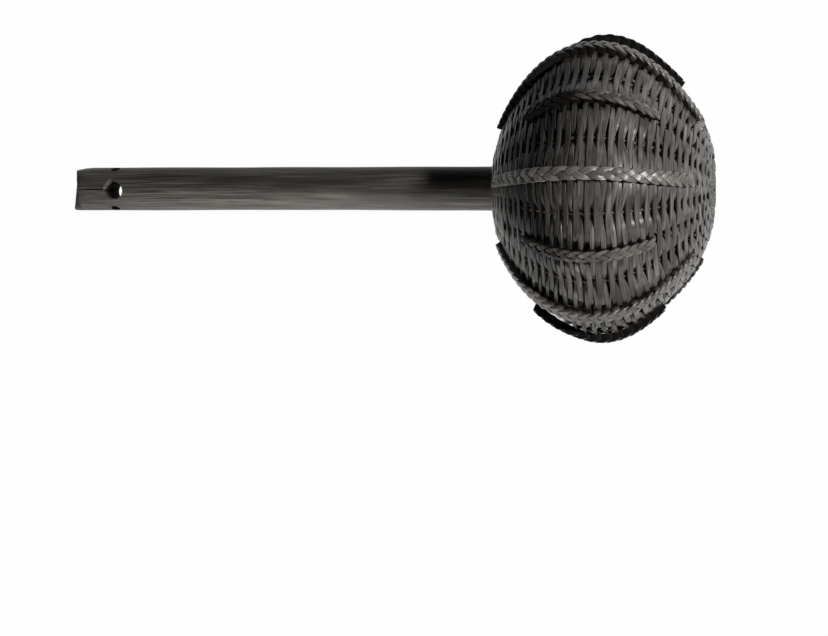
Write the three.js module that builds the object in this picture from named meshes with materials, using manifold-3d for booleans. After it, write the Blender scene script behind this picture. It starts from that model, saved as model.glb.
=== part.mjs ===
// A handled rattle: a globe of woven cane with plaited ridges, on a straight wooden stick, with loose
// seeds inside. Millimetres, +Z up. It lies on a table, on its lowest plait and the rim of its butt.

import * as THREE from 'three';
import { mergeVertices } from 'three/addons/utils/BufferGeometryUtils.js';
import Module from 'manifold-3d';

// Clearances
const GAP = 0.3; // between pieces that touch on the real object
const TURN_GAP = 0.6; // between two turns of the same winding

// Stick
const STICK_RADIUS = 13;
const STICK_EDGE = 1.5; // bevel round both ends
const STICK_SIDES = 32;
const BUTT_TO_CENTRE = 321; // from the butt to the middle of the head
const HOLE_FROM_BUTT = 23;
const CORD_HOLE_RADIUS = 5.2;
const CORD_HOLE_LEAN = THREE.MathUtils.degToRad(6.5); // the hole was not made square to the stick
const CROSS_HOLE_RADIUS = 2.8;
const CROSS_HOLE_LIFT = 3.5; // above the stick's axis
const HOLE_SIDES = 20;

// Cage of stakes. Angles along a stake run from the neck, where the stick goes in, to the crown.
const CAGE_HALF_LENGTH = 61.3; // middle of the head to a pole, on the stakes' centre lines, before flattening
const CAGE_RADIUS = 78; // axis to the centre line of a plain stake
const SHOULDER_SHARE = 0.03; // how much slimmer than an ellipse the globe is half way to a pole
const FLAT_SHARE = 0.03; // how much the poles are flattened
const FLAT_POWER = 24; // the higher, the smaller the flattened part
const RIDGES = 12;
const KEEL = 3.6; // how far a ridge stake stands out of the plain ones, half way along its plait
const STAKE_RADIUS = 1.5;
const STAKE_TIP_RADIUS = 0.9;
const STAKE_SIDES = 5;
const STAKE_STEPS = 16;
const BEND_RADIUS = 3; // where a stake turns in along the stick
const NECK_FOOT = 22; // length of a stake bound along the stick
const CROWN_FOOT = 7; // length of a stake gathered behind the crown

// Weft: two flat strands that chase each other round the stakes, over one and under one
const WEFT_THICKNESS = 1.2;
const WEFT_ROWS = 32;
const ROW_GAP = 1.2;
const WEFT_PIECES = 4; // pieces that each strand is made up of, neck to crown

// Plaits along the ridges, long and short ones in turn
const PLAIT_WIDTH = 8.8;
const PLAIT_THICKNESS = 3;
const PLAIT_BEVEL = 1.1;
const LONG_PLAIT_FROM = THREE.MathUtils.degToRad(26);
const LONG_PLAIT_TO = THREE.MathUtils.degToRad(145);
const SHORT_PLAIT_FROM = THREE.MathUtils.degToRad(56);
const SHORT_PLAIT_TO = THREE.MathUtils.degToRad(123);

// Windings: inside, cords that bind the stakes' feet; outside, coils that close the weave at the poles
const LASHING_RADIUS = 0.9;
const LASHING_STEPS = 14; // steps in a turn
const LASHING_SIDES = 5;
const NECK_LASHING_TURNS = 5;
const CROWN_LASHING_TURNS = 2;
const COIL_RADIUS = 1.25;
const NECK_COIL_TURNS = 1;
const CROWN_COIL_INNER_RADIUS = 2.2;
const CROWN_COIL_TURNS = 5;
const COIL_STEPS = 20; // steps in a turn
const COIL_SIDES = 6;

// Seeds
const SEED_RADIUS = 4.5;
const SEED_SPACING = 10.8; // leaves the outer seeds a way past the stick
const SEED_ROWS = 5;
const SEED_SIDES = 10;
const SEED_RINGS = 6;
const WALL_SAMPLES = 8; // places on a strand between two stakes that are tried for a seed to lie on

const TURN = 2 * Math.PI;
const STAKES = 2 * RIDGES;
const wasm = await Module();
wasm.setup();

const MATERIALS = {
  wood: { color: 0x54504b, roughness: 0.5, metalness: 0 },
  stake: { color: 0x4a4743, roughness: 0.65, metalness: 0 },
  weft: { color: 0x5f5b56, roughness: 0.55, metalness: 0 },
  plait: { color: 0x7d7872, roughness: 0.5, metalness: 0 },
  cord: { color: 0x57534c, roughness: 0.8, metalness: 0 },
  seed: { color: 0x3a3531, roughness: 0.4, metalness: 0 },
};

function makeMesh(name, geometry, finish) {
  const mesh = new THREE.Mesh(geometry, new THREE.MeshStandardMaterial(MATERIALS[finish]));
  mesh.name = name;
  return mesh;
}

function signedVolume(vertices, triangles) {
  let six = 0;
  const crossed = new THREE.Vector3();
  for (const [a, b, c] of triangles) {
    crossed.crossVectors(vertices[b], vertices[c]);
    six += vertices[a].dot(crossed);
  }
  return six / 6;
}

// A closed skin over a row of rings that all have the same number of points, with flat ends.
function loft(rings) {
  const sides = rings[0].length;
  const vertices = rings.flat();
  const triangles = [];
  for (let i = 0; i + 1 < rings.length; i++) {
    for (let k = 0; k < sides; k++) {
      const a = i * sides + k;
      const b = i * sides + ((k + 1) % sides);
      triangles.push([a, b, a + sides], [b, b + sides, a + sides]);
    }
  }
  const last = (rings.length - 1) * sides;
  for (let k = 1; k + 1 < sides; k++) {
    triangles.push([0, k + 1, k], [last, last + k, last + k + 1]);
  }
  if (signedVolume(vertices, triangles) < 0) {
    triangles.forEach((t) => t.reverse());
  }
  const geometry = new THREE.BufferGeometry().setFromPoints(vertices);
  geometry.setIndex(triangles.flat());
  geometry.computeVertexNormals();
  return geometry;
}

function toSolid(geometry) {
  const bare = geometry.clone();
  bare.deleteAttribute('normal');
  bare.deleteAttribute('uv');
  const merged = mergeVertices(bare, 1e-4);
  const index = merged.getIndex().array;
  const kept = [];
  for (let i = 0; i < index.length; i += 3) {
    const [a, b, c] = index.subarray(i, i + 3);
    if (a !== b && b !== c && c !== a) {
      kept.push(a, b, c);
    }
  }
  const mesh = new wasm.Mesh({
    numProp: 3,
    vertProperties: new Float32Array(merged.getAttribute('position').array),
    triVerts: new Uint32Array(kept),
  });
  return new wasm.Manifold(mesh);
}

function fromSolid(solid) {
  const mesh = solid.getMesh();
  const geometry = new THREE.BufferGeometry();
  geometry.setAttribute('position', new THREE.BufferAttribute(mesh.vertProperties, 3));
  geometry.setIndex(new THREE.BufferAttribute(mesh.triVerts, 1));
  geometry.computeVertexNormals();
  return geometry;
}

// The head's own frame has its middle at the origin and its axis along X, from the neck to the crown.
// A point of a stake is given in its own half plane, as a place along the axis and a radius from it.
const neckFootRadius = STICK_RADIUS + GAP + STAKE_TIP_RADIUS;
const crownFootRadius = (STAKES * (2 * STAKE_TIP_RADIUS + GAP)) / TURN;
const neckAngle = Math.asin((neckFootRadius + BEND_RADIUS) / CAGE_RADIUS);
const crownAngle = Math.PI - Math.asin((crownFootRadius + BEND_RADIUS) / CAGE_RADIUS);

function smooth(t) {
  const clamped = Math.min(Math.max(t, 0), 1);
  return clamped * clamped * (3 - 2 * clamped);
}

const KINDS = {
  long: { from: LONG_PLAIT_FROM, to: LONG_PLAIT_TO },
  plain: null,
  short: { from: SHORT_PLAIT_FROM, to: SHORT_PLAIT_TO },
};

function stakeKind(number) {
  return ['long', 'plain', 'short', 'plain'][number % 4];
}

// How far a stake of this kind stands out at an angle along it: a crescent as long as its plait.
function keelLift(kind, angle) {
  const span = KINDS[kind];
  if (!span) {
    return 0;
  }
  const share = (angle - span.from) / (span.to - span.from);
  return KEEL * smooth(2 * share) * smooth(2 - 2 * share);
}

function stakeRadius(angle) {
  return STAKE_TIP_RADIUS + (STAKE_RADIUS - STAKE_TIP_RADIUS) * smooth(1.4 * Math.sin(angle) - 0.2);
}

// The globe's outline: an ellipse with slimmer shoulders and blunt poles.
function outline(angle) {
  const cosine = Math.cos(angle);
  const slim = 1 - SHOULDER_SHARE * Math.sin(2 * angle) ** 2;
  const flat = FLAT_SHARE * Math.sign(cosine) * cosine ** FLAT_POWER;
  return new THREE.Vector2(-CAGE_HALF_LENGTH * (cosine * slim - flat), CAGE_RADIUS * Math.sin(angle) * slim);
}

// One station of a stake: its place, the direction out of the head and the direction along the stake.
function station(kind, angle) {
  const nearby = 1e-4;
  const along = outline(angle + nearby).sub(outline(angle - nearby)).normalize();
  const out = new THREE.Vector2(-along.y, along.x);
  const place = outline(angle).addScaledVector(out, keelLift(kind, angle));
  return { place, out, along };
}

const stationStep = (crownAngle - neckAngle) / STAKE_STEPS;

// A point on the straight stretch between two stations, where the weft and the plaits lie on a stake,
// with the distance from there to the weft's centre.
function onStake(kind, angle) {
  const before = Math.min(Math.floor((angle - neckAngle) / stationStep), STAKE_STEPS - 1);
  const lowAngle = neckAngle + before * stationStep;
  const low = station(kind, lowAngle);
  const high = station(kind, lowAngle + stationStep);
  const share = (angle - lowAngle) / stationStep;
  const out = low.out.clone().lerp(high.out, share).normalize();
  return {
    place: low.place.clone().lerp(high.place, share),
    out,
    along: new THREE.Vector2(out.y, -out.x),
    toWeft: THREE.MathUtils.lerp(weftOffset(lowAngle), weftOffset(lowAngle + stationStep), share),
  };
}

// From a half plane turned about the axis, with an extra distance across it, to a point in space.
// A turn of 0 is straight up, and the turn grows towards +Y.
function spin(place, turn, across = 0) {
  const y = place.y * Math.sin(turn) + across * Math.cos(turn);
  const z = place.y * Math.cos(turn) - across * Math.sin(turn);
  return new THREE.Vector3(place.x, y, z);
}

// How far the weft's centre lies from a stake's centre line, so that its slope clears the stake.
function weftOffset(angle) {
  const pitch = (TURN * CAGE_RADIUS * Math.sin(angle)) / STAKES;
  const lift = Math.max(keelLift('long', angle), keelLift('short', angle));
  let offset = stakeRadius(angle) + GAP + WEFT_THICKNESS / 2;
  for (let i = 0; i < 12; i++) {
    const slope = Math.atan((2 * offset + lift) / pitch) + Math.PI / STAKES;
    offset = (stakeRadius(angle) + GAP) / Math.cos(slope) + WEFT_THICKNESS / 2;
  }
  return offset;
}

// Stick

function makeStick() {
  const inner = BUTT_TO_CENTRE + stickTip;
  const profile = [
    new THREE.Vector2(0, 0),
    new THREE.Vector2(STICK_RADIUS - STICK_EDGE, 0),
    new THREE.Vector2(STICK_RADIUS, STICK_EDGE),
    new THREE.Vector2(STICK_RADIUS, inner - STICK_EDGE),
    new THREE.Vector2(STICK_RADIUS - STICK_EDGE, inner),
    new THREE.Vector2(0, inner),
  ];
  const rod = new THREE.LatheGeometry(profile, STICK_SIDES);
  rod.rotateZ(-Math.PI / 2);
  const reach = 4 * STICK_RADIUS;
  const cordHole = new THREE.CylinderGeometry(CORD_HOLE_RADIUS, CORD_HOLE_RADIUS, reach, HOLE_SIDES);
  cordHole.rotateX(Math.PI / 2).rotateY(CORD_HOLE_LEAN).translate(HOLE_FROM_BUTT, 0, 0);
  const crossHole = new THREE.CylinderGeometry(CROSS_HOLE_RADIUS, CROSS_HOLE_RADIUS, reach, HOLE_SIDES);
  crossHole.translate(HOLE_FROM_BUTT, 0, CROSS_HOLE_LIFT);
  const drilled = toSolid(rod).subtract(toSolid(cordHole)).subtract(toSolid(crossHole));
  return fromSolid(drilled).translate(-BUTT_TO_CENTRE, 0, 0);
}

// Stakes

const neckStart = station('plain', neckAngle).place;
const crownStart = station('plain', crownAngle).place;
const neckBend = new THREE.Vector2(neckStart.x + BEND_RADIUS, neckStart.y);
const crownBend = new THREE.Vector2(crownStart.x - BEND_RADIUS, crownStart.y);
const stickTip = crownBend.x - CROWN_FOOT - GAP;

function stakeRing(place, out, radius) {
  const ring = [];
  for (let k = 0; k < STAKE_SIDES; k++) {
    const around = (TURN * k) / STAKE_SIDES;
    const point = place.clone().addScaledVector(out, radius * Math.cos(around));
    ring.push(spin(point, 0, radius * Math.sin(around)));
  }
  return ring;
}

function makeStake(kind) {
  const inward = new THREE.Vector2(0, -1);
  const half = Math.SQRT1_2;
  const rings = [];
  const neckFoot = new THREE.Vector2(neckBend.x + NECK_FOOT, neckFootRadius);
  rings.push(stakeRing(neckFoot, inward, STAKE_TIP_RADIUS));
  rings.push(stakeRing(new THREE.Vector2(neckBend.x, neckFootRadius), inward, STAKE_TIP_RADIUS));
  const neckDiagonal = new THREE.Vector2(-half, -half);
  const neckMiddle = neckBend.clone().addScaledVector(neckDiagonal, BEND_RADIUS);
  rings.push(stakeRing(neckMiddle, neckDiagonal, STAKE_TIP_RADIUS));
  for (let i = 0; i <= STAKE_STEPS; i++) {
    const angle = neckAngle + i * stationStep;
    const { place, out } = station(kind, angle);
    rings.push(stakeRing(place, out, stakeRadius(angle)));
  }
  const crownDiagonal = new THREE.Vector2(half, -half);
  const crownMiddle = crownBend.clone().addScaledVector(crownDiagonal, BEND_RADIUS);
  rings.push(stakeRing(crownMiddle, crownDiagonal, STAKE_TIP_RADIUS));
  rings.push(stakeRing(new THREE.Vector2(crownBend.x, crownFootRadius), inward, STAKE_TIP_RADIUS));
  const crownFoot = new THREE.Vector2(crownBend.x - CROWN_FOOT, crownFootRadius);
  rings.push(stakeRing(crownFoot, inward, STAKE_TIP_RADIUS));
  return loft(rings);
}

// Windings

function cordRing(place, out, along, turn, radius, sides) {
  const ring = [];
  for (let k = 0; k < sides; k++) {
    const around = (TURN * k) / sides;
    const point = place.clone().addScaledVector(out, radius * Math.cos(around));
    point.addScaledVector(along, radius * Math.sin(around));
    ring.push(spin(point, turn));
  }
  return ring;
}

// Measures how near a winding comes to itself, between points that lie over half a turn apart.
function printLeastGap(name, rings, stepsInTurn) {
  let least = Infinity;
  for (let i = 0; i < rings.length; i++) {
    for (let j = i + Math.ceil(stepsInTurn / 2); j < rings.length; j++) {
      for (const a of rings[i]) {
        for (const b of rings[j]) {
          least = Math.min(least, a.distanceTo(b));
        }
      }
    }
  }
  console.log(`${name}: least gap to itself ${least.toFixed(2)} mm`);
}

// A cord wound round the feet of the stakes, from one place along the axis to another.
function makeLashing(name, footRadius, from, turns) {
  const middle = footRadius + STAKE_TIP_RADIUS + GAP + LASHING_RADIUS;
  const out = new THREE.Vector2(0, 1);
  const along = new THREE.Vector2(1, 0);
  const rings = [];
  for (let i = 0; i <= turns * LASHING_STEPS; i++) {
    const wound = i / LASHING_STEPS;
    const place = new THREE.Vector2(from + wound * (2 * LASHING_RADIUS + TURN_GAP), middle);
    rings.push(cordRing(place, out, along, TURN * wound, LASHING_RADIUS, LASHING_SIDES));
  }
  printLeastGap(name, rings, LASHING_STEPS);
  return loft(rings);
}

// A strand coiled flat on the outside of the stakes, round a pole. The side is -1 at the neck, 1 at the crown.
function makeCoil(name, side, innerRadius, turns) {
  const rings = [];
  for (let i = 0; i <= turns * COIL_STEPS; i++) {
    const wound = i / COIL_STEPS;
    const radius = innerRadius + wound * (2 * COIL_RADIUS + TURN_GAP);
    const fromPole = Math.asin(radius / CAGE_RADIUS);
    const { place, out, along } = station('plain', side < 0 ? fromPole : Math.PI - fromPole);
    place.addScaledVector(out, STAKE_TIP_RADIUS + GAP + COIL_RADIUS);
    rings.push(cordRing(place, out, along, TURN * wound, COIL_RADIUS, COIL_SIDES));
  }
  printLeastGap(name, rings, COIL_STEPS);
  return loft(rings);
}

function coilOuterRadius(innerRadius, turns) {
  return innerRadius + turns * (2 * COIL_RADIUS + TURN_GAP) + COIL_RADIUS;
}

const neckCoilInnerRadius = STICK_RADIUS + GAP + COIL_RADIUS + STAKE_TIP_RADIUS;

// Weft

const neckCoilOuter = coilOuterRadius(neckCoilInnerRadius, NECK_COIL_TURNS);
const crownCoilOuter = coilOuterRadius(CROWN_COIL_INNER_RADIUS, CROWN_COIL_TURNS);
const meanRadius = (CAGE_HALF_LENGTH + CAGE_RADIUS) / 2;
const firstEdge = Math.asin((neckCoilOuter + TURN_GAP) / CAGE_RADIUS);
const lastEdge = Math.PI - Math.asin((crownCoilOuter + TURN_GAP) / CAGE_RADIUS);
const rowStep = (lastEdge - firstEdge) / (WEFT_ROWS + 2);
const weftWidth = rowStep * meanRadius - ROW_GAP;

// One piece of a strand, from one turn to another, as its section at each stake that it crosses.
// Strand 0 goes over the ridge stakes, strand 1 under them.
function weftRings(strand, fromTurn, toTurn) {
  const rings = [];
  const crossings = Math.round((toTurn - fromTurn) * STAKES);
  for (let i = 0; i < crossings; i++) {
    const number = i % STAKES;
    const wound = fromTurn + i / STAKES;
    const angle = firstEdge + rowStep * (2 * wound + strand + 0.5);
    const { place, out, along, toWeft } = onStake(stakeKind(number), angle);
    const over = (number + strand) % 2 === 0 ? 1 : -1;
    place.addScaledVector(out, over * toWeft);
    const ring = [];
    for (const [u, v] of [[-1, -1], [1, -1], [1, 1], [-1, 1]]) {
      const corner = place.clone().addScaledVector(along, (u * weftWidth) / 2);
      corner.addScaledVector(out, (v * WEFT_THICKNESS) / 2);
      ring.push(spin(corner, (TURN * number) / STAKES));
    }
    rings.push(ring);
  }
  return rings;
}

// Plaits

// The edges of the flat weft stand out where a stake turns from one straight stretch to the next.
const shortHalf = (SHORT_PLAIT_TO - SHORT_PLAIT_FROM) / 2;
const rampTurn = Math.atan((1.5 * KEEL) / (shortHalf * meanRadius)); // smooth() is steepest at 1.5
const equatorTurn = ((stationStep * CAGE_RADIUS) / CAGE_HALF_LENGTH) * (1 + 8 * SHOULDER_SHARE);
const sharpestTurn = equatorTurn + rampTurn;
const weftEdge = (weftWidth / 2) * Math.tan(sharpestTurn / 2);

function plaitSeat(kind, angle) {
  const { place, out, toWeft } = onStake(kind, angle);
  place.addScaledVector(out, toWeft + WEFT_THICKNESS / 2 + weftEdge + GAP);
  return { place, out };
}

function plaitAngles(kind) {
  const { from, to } = KINDS[kind];
  const angles = [from];
  for (let i = 1; i < STAKE_STEPS; i++) {
    const angle = neckAngle + i * stationStep;
    if (angle > from + stationStep / 20 && angle < to - stationStep / 20) {
      angles.push(angle);
    }
  }
  angles.push(to);
  return angles;
}

function makePlait(kind) {
  const half = PLAIT_WIDTH / 2;
  const section = [
    [-half, 0],
    [half, 0],
    [half, PLAIT_THICKNESS - PLAIT_BEVEL],
    [half - PLAIT_BEVEL, PLAIT_THICKNESS],
    [PLAIT_BEVEL - half, PLAIT_THICKNESS],
    [-half, PLAIT_THICKNESS - PLAIT_BEVEL],
  ];
  const rings = plaitAngles(kind).map((angle) => {
    const { place, out } = plaitSeat(kind, angle);
    return section.map(([across, height]) => spin(place.clone().addScaledVector(out, height), 0, across));
  });
  return loft(rings);
}

// The head's tilt on the table: the steepest line from the butt's rim to the lowest plait.
function restingTilt() {
  let tilt = 0;
  for (const angle of plaitAngles('long')) {
    const { place, out } = plaitSeat('long', angle);
    place.addScaledVector(out, PLAIT_THICKNESS);
    const run = place.x + BUTT_TO_CENTRE - STICK_EDGE;
    tilt = Math.max(tilt, Math.atan2(place.y - STICK_RADIUS, run));
  }
  return tilt;
}

const tilt = restingTilt();

// Seeds

// Points on the strands that a seed can lie on: on their edges and down the middle of their faces.
function wallPoints() {
  const points = [];
  for (let strand = 0; strand < 2; strand++) {
    const rings = weftRings(strand, 0, WEFT_ROWS / 2).map((ring) => {
      const middles = ring.map((corner, k) => corner.clone().lerp(ring[(k + 1) % ring.length], 0.5));
      return ring.concat(middles);
    });
    for (let i = 0; i + 1 < rings.length; i++) {
      for (let share = 0; share < 1; share += 1 / WALL_SAMPLES) {
        rings[i].forEach((point, k) => points.push(point.clone().lerp(rings[i + 1][k], share)));
      }
    }
  }
  return points;
}

const UP = new THREE.Vector3(Math.sin(tilt), 0, Math.cos(tilt)); // straight up, in the head's own frame

// How far below the level of the middle a seed comes to lie on the wall, for a place across the head.
function seedRest(level, walls) {
  const clear = SEED_RADIUS + GAP;
  let drop = CAGE_RADIUS;
  for (const wall of walls) {
    const apart = wall.clone().sub(level);
    const below = -apart.dot(UP);
    const aside = apart.addScaledVector(UP, below).length();
    if (below > 0 && aside < clear) {
      drop = Math.min(drop, below - Math.sqrt(clear * clear - aside * aside));
    }
  }
  return level.clone().addScaledVector(UP, -drop);
}

// A huddle of seeds at the lowest place inside, in rows that leave each its own way up.
function seedPlaces() {
  const walls = wallPoints();
  const level = new THREE.Vector3(Math.cos(tilt), 0, -Math.sin(tilt));
  const rowSpacing = SEED_SPACING * Math.cos(Math.PI / 6);
  const places = [];
  for (let row = 0; row < SEED_ROWS; row++) {
    const fromMiddle = row - (SEED_ROWS - 1) / 2;
    const count = (SEED_ROWS + 1) / 2 - Math.abs(fromMiddle);
    for (let i = 0; i < count; i++) {
      const middle = level.clone().multiplyScalar((i - (count - 1) / 2) * SEED_SPACING);
      middle.y = fromMiddle * rowSpacing;
      places.push(seedRest(middle, walls));
    }
  }
  return places;
}

function makeSeed() {
  return new THREE.SphereGeometry(SEED_RADIUS, SEED_SIDES, SEED_RINGS);
}

// Assembly

function pad(number) {
  return String(number).padStart(2, '0');
}

function buildHead() {
  const head = new THREE.Group();
  head.add(makeMesh('stick', makeStick(), 'wood'));

  const stakes = { long: makeStake('long'), plain: makeStake('plain'), short: makeStake('short') };
  for (let number = 0; number < STAKES; number++) {
    const stake = makeMesh(`stake_${pad(number + 1)}`, stakes[stakeKind(number)], 'stake');
    stake.rotation.x = (-TURN * number) / STAKES;
    head.add(stake);
  }

  const turns = WEFT_ROWS / 2;
  for (let strand = 0; strand < 2; strand++) {
    for (let piece = 0; piece < WEFT_PIECES; piece++) {
      const from = (turns * piece) / WEFT_PIECES;
      const weft = loft(weftRings(strand, from, from + turns / WEFT_PIECES));
      head.add(makeMesh(`weft_${'ab'[strand]}_${piece + 1}`, weft, 'weft'));
    }
  }

  const plaits = { long: makePlait('long'), short: makePlait('short') };
  for (let ridge = 0; ridge < RIDGES; ridge++) {
    const kind = stakeKind(2 * ridge);
    const plait = makeMesh(`plait_${pad(ridge + 1)}_${kind}`, plaits[kind], 'plait');
    plait.rotation.x = (-TURN * ridge) / RIDGES;
    head.add(plait);
  }

  const lashingStep = 2 * LASHING_RADIUS + TURN_GAP;
  const neckLashing = makeLashing('neck_lashing', neckFootRadius, neckBend.x + BEND_RADIUS, NECK_LASHING_TURNS);
  head.add(makeMesh('neck_lashing', neckLashing, 'cord'));
  const crownFrom = stickTip + GAP + lashingStep / 2;
  const crownLashing = makeLashing('crown_lashing', crownFootRadius, crownFrom, CROWN_LASHING_TURNS);
  head.add(makeMesh('crown_lashing', crownLashing, 'cord'));

  const neckCoil = makeCoil('neck_coil', -1, neckCoilInnerRadius, NECK_COIL_TURNS);
  head.add(makeMesh('neck_coil', neckCoil, 'weft'));
  const crownCoil = makeCoil('crown_coil', 1, CROWN_COIL_INNER_RADIUS, CROWN_COIL_TURNS);
  head.add(makeMesh('crown_coil', crownCoil, 'weft'));
  return head;
}

function addSeeds(head) {
  const seed = makeSeed();
  seedPlaces().forEach((place, i) => {
    const mesh = makeMesh(`seed_${pad(i + 1)}`, seed, 'seed');
    mesh.position.copy(place);
    head.add(mesh);
  });
}

// Lies on the table, with its box's bottom centre at the origin.
function layDown(head) {
  const rattle = new THREE.Group();
  head.rotation.y = -tilt;
  rattle.add(head);
  rattle.updateMatrixWorld(true);
  const box = new THREE.Box3().setFromObject(rattle, true);
  const middle = box.getCenter(new THREE.Vector3());
  head.position.set(-middle.x, -middle.y, -box.min.z);
  return rattle;
}

const head = buildHead();
addSeeds(head);
export default layDown(head);
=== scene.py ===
import math

import bpy
import numpy as np
from mathutils import Matrix, Vector


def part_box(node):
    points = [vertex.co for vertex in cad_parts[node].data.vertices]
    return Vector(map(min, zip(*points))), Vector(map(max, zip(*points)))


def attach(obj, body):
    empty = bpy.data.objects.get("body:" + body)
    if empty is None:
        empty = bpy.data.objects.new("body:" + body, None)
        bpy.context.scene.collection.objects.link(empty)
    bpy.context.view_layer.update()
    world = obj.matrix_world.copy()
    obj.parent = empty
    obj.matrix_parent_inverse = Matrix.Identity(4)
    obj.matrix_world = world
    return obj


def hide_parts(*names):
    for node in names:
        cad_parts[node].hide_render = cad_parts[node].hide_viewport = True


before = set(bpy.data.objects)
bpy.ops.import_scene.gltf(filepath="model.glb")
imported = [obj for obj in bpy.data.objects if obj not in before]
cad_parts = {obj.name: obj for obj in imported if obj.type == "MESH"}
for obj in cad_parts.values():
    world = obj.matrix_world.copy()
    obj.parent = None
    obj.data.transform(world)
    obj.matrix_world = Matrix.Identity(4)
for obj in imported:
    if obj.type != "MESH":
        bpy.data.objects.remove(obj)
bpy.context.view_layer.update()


# Stick: one straight length of dark, close-grained wood, shaved round and worn smooth by hands. A leaning
# cord hole is cut through near the butt, a narrow hole is bored across it, and the wood has split from
# the butt to the cord hole's worn mouth.
STICK_RADIUS = 0.013
STICK_BUTT = -0.321
STICK_TIP = 0.0485
STICK_THINNING = 0.0003
RIM_WEAR = 0.0009
WHITTLED_LENGTH = 0.009
WHITTLED_DEPTH = 0.0009
WHITTLED_ASIDE = 0.0008
BUTT_SLANT = 0.24
BUTT_SIDES = 0.0052
BUTT_HOLLOW = 0.0034
BUTT_OVERLENGTH = 0.0004
HOLE_PLACE = STICK_BUTT + 0.023
CORD_HOLE_RADIUS = 0.0052
CORD_HOLE_LEAN = (math.radians(4), math.radians(5), 0)
CROSS_HOLE_RADIUS = 0.0028
CROSS_HOLE_LIFT = 0.0047
CROSS_HOLE_SLANT = 0.07
RIGHT_THROUGH = 0.05
BORE_WITHIN = 0.0114
HOLES_REACH = 0.009

stick_length = STICK_TIP - STICK_BUTT
bpy.ops.object.select_all(action="DESELECT")
bpy.ops.mesh.primitive_cylinder_add(
    vertices=80, radius=STICK_RADIUS, depth=stick_length,
    location=((STICK_TIP + STICK_BUTT) / 2, 0, 0), rotation=(0, math.pi / 2, 0))
stick = bpy.context.object
stick.name = "stick_body"
bpy.ops.object.transform_apply(location=True, rotation=True, scale=True)


def pick_edges(piece, wanted):
    """Selects in edit mode the edges whose two ends pass the test."""
    bpy.ops.object.mode_set(mode="EDIT")
    bpy.ops.mesh.select_mode(type="EDGE")
    bpy.ops.mesh.select_all(action="DESELECT")
    bpy.ops.object.mode_set(mode="OBJECT")
    for edge in piece.data.edges:
        a, b = (piece.data.vertices[i].co for i in edge.vertices)
        edge.select = wanted(a, b)
    bpy.ops.object.mode_set(mode="EDIT")


pick_edges(stick, lambda a, b: abs(a.x - b.x) < 1e-5)
bpy.ops.mesh.bevel(offset=RIM_WEAR, segments=3, affect="EDGES")
bpy.ops.object.mode_set(mode="OBJECT")
pick_edges(stick, lambda a, b: abs(a.x - b.x) > stick_length / 2)
bpy.ops.mesh.subdivide(number_cuts=240)
bpy.ops.object.mode_set(mode="OBJECT")

# The shaving left low flats and swellings. The butt was whittled, most at its far side, and cut aslant and
# a little hollow.
place = np.empty(len(stick.data.vertices) * 3)
stick.data.vertices.foreach_get("co", place)
place = place.reshape(-1, 3)
along = (place[:, 0] - STICK_BUTT) / stick_length
around = np.arctan2(place[:, 1], place[:, 2])
swell = 0.00010 * np.sin(9 * along + 1.3) + 0.00007 * np.sin(31 * along + 2 * around)
swell += 0.00008 * np.cos(3 * around + 4 * along) + 0.00005 * np.cos(7 * around - 11 * along)
thinner = STICK_THINNING * np.clip(along * 1.2, 0, 1)
scale = 1 + (swell - thinner) / STICK_RADIUS
place[:, 1] *= scale
place[:, 2] *= scale
near_butt = np.clip(1 - along * stick_length / WHITTLED_LENGTH, 0, 1)
whittled = 1 - near_butt ** 2 * (WHITTLED_DEPTH + WHITTLED_ASIDE * np.sin(around)) / STICK_RADIUS
place[:, 1] *= whittled
place[:, 2] *= whittled
sideways = place[:, 1] / STICK_RADIUS
below = np.maximum(-place[:, 2] / STICK_RADIUS, 0)
cut = BUTT_SLANT * np.maximum(place[:, 2], 0) - BUTT_SIDES * (1 - below)
cut += BUTT_HOLLOW * (1 - sideways ** 2) - BUTT_OVERLENGTH
place[:, 0] += near_butt * (cut + 0.00015 * np.cos(7 * around))
stick.data.vertices.foreach_set("co", place.ravel())


def cut_away(piece, cutter):
    """Takes the cutter's shape out of the piece and throws the cutter away."""
    bpy.ops.object.select_all(action="DESELECT")
    bpy.context.view_layer.objects.active = piece
    boolean = piece.modifiers.new("cut", "BOOLEAN")
    boolean.object = cutter
    boolean.operation = "DIFFERENCE"
    boolean.solver = "EXACT"
    bpy.ops.object.modifier_apply(modifier=boolean.name)
    bpy.data.objects.remove(cutter)


# The cord hole was cut square from above, with a corner towards the butt, and then bored through round.
bpy.ops.mesh.primitive_cylinder_add(
    vertices=4, radius=CORD_HOLE_RADIUS, depth=0.017,
    location=(HOLE_PLACE + 0.0013, -0.0018, 0.0085), rotation=CORD_HOLE_LEAN)
bpy.context.object.scale = (1.1, 1.14, 1)
cut_away(stick, bpy.context.object)
bpy.ops.mesh.primitive_cylinder_add(
    vertices=56, radius=CORD_HOLE_RADIUS, depth=RIGHT_THROUGH,
    location=(HOLE_PLACE + 0.0012, -0.0012, 0), rotation=CORD_HOLE_LEAN)
cut_away(stick, bpy.context.object)
bpy.ops.mesh.primitive_cylinder_add(
    vertices=40, radius=CROSS_HOLE_RADIUS, depth=RIGHT_THROUGH,
    location=(HOLE_PLACE, 0, CROSS_HOLE_LIFT), rotation=(math.pi / 2 + CROSS_HOLE_SLANT, 0, 0))
cut_away(stick, bpy.context.object)
# The mouth is worn to blunt points, the longest towards the split, and rounded underneath.
bpy.ops.mesh.primitive_cone_add(
    vertices=4, radius1=0, radius2=0.0072, depth=0.0072,
    location=(HOLE_PLACE - 0.0002, -0.0021, 0.0112))
bpy.context.object.scale = (0.95, 1.9, 1)
cut_away(stick, bpy.context.object)
bpy.ops.mesh.primitive_cone_add(
    vertices=40, radius1=0.0078, radius2=0, depth=0.012,
    location=(HOLE_PLACE - 0.0014, 0, -0.0139))
cut_away(stick, bpy.context.object)
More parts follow.
